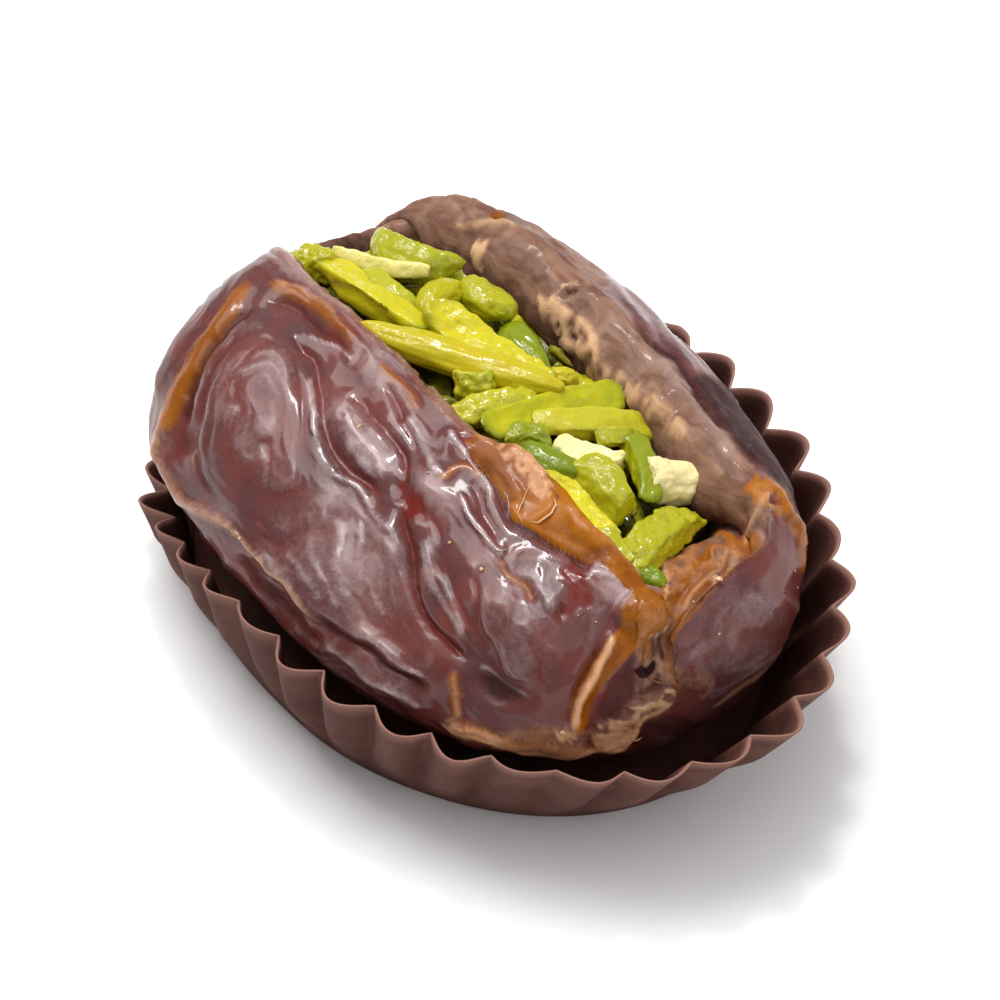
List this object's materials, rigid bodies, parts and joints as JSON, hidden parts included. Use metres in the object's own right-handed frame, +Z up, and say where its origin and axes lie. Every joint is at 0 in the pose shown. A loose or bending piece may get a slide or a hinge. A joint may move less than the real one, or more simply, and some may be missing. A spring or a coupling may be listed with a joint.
{
  "type": "stuffed date",
  "caption": "Plump dried date slit along its length, opened and stuffed with pistachio slivers, resting in an oval fluted paper case.",
  "frame": {"origin": "middle of the paper case's flat underside, on the surface it stands on", "axes": "+X along the date towards the near end with the folded flap, +Y across it towards the lower lip of the slit, +Z up out of the case"},
  "size_m": [0.0562, 0.0413, 0.0203],
  "materials": {
    "case_paper": "matte dark brown greaseproof paper",
    "date_skin": "glossy wrinkled skin, dark maroon brown with amber folds",
    "pistachio": "moist yellow green nut, cut faces paler"
  },
  "bodies": {
    "root": {"paper_case": "case_paper", "date": "date_skin", "pistachio_filling": "pistachio"}
  },
  "joints": []
}
